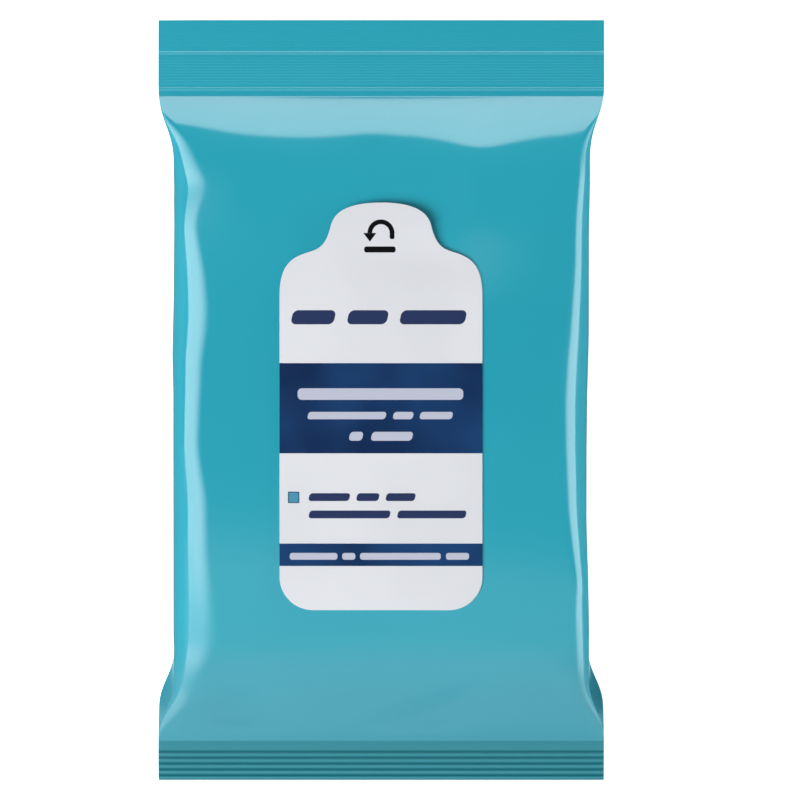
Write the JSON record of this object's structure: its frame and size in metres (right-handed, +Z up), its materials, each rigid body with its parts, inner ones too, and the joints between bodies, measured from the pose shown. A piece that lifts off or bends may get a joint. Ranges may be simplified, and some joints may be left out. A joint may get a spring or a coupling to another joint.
{
  "type": "wet wipes pack",
  "caption": "Sealed travel pack of wet wipes in glossy teal film, crimped at both ends, with a white peel-back reseal label on the front.",
  "frame": {"origin": "middle of the underside, on the surface that the pack lies on", "axes": "+X across the pack, +Y along it from the short crimp at the foot to the long crimp at the head, +Z up, out of the label"},
  "size_m": [0.085, 0.145, 0.0191],
  "materials": {
    "film": "glossy teal laminate film, smooth on the body and pressed into ribs in the two crimps",
    "label": "satin white film label with a wide and a narrow navy band"
  },
  "bodies": {
    "root": {"film_pouch": "film", "reseal_label": "label"}
  },
  "joints": []
}
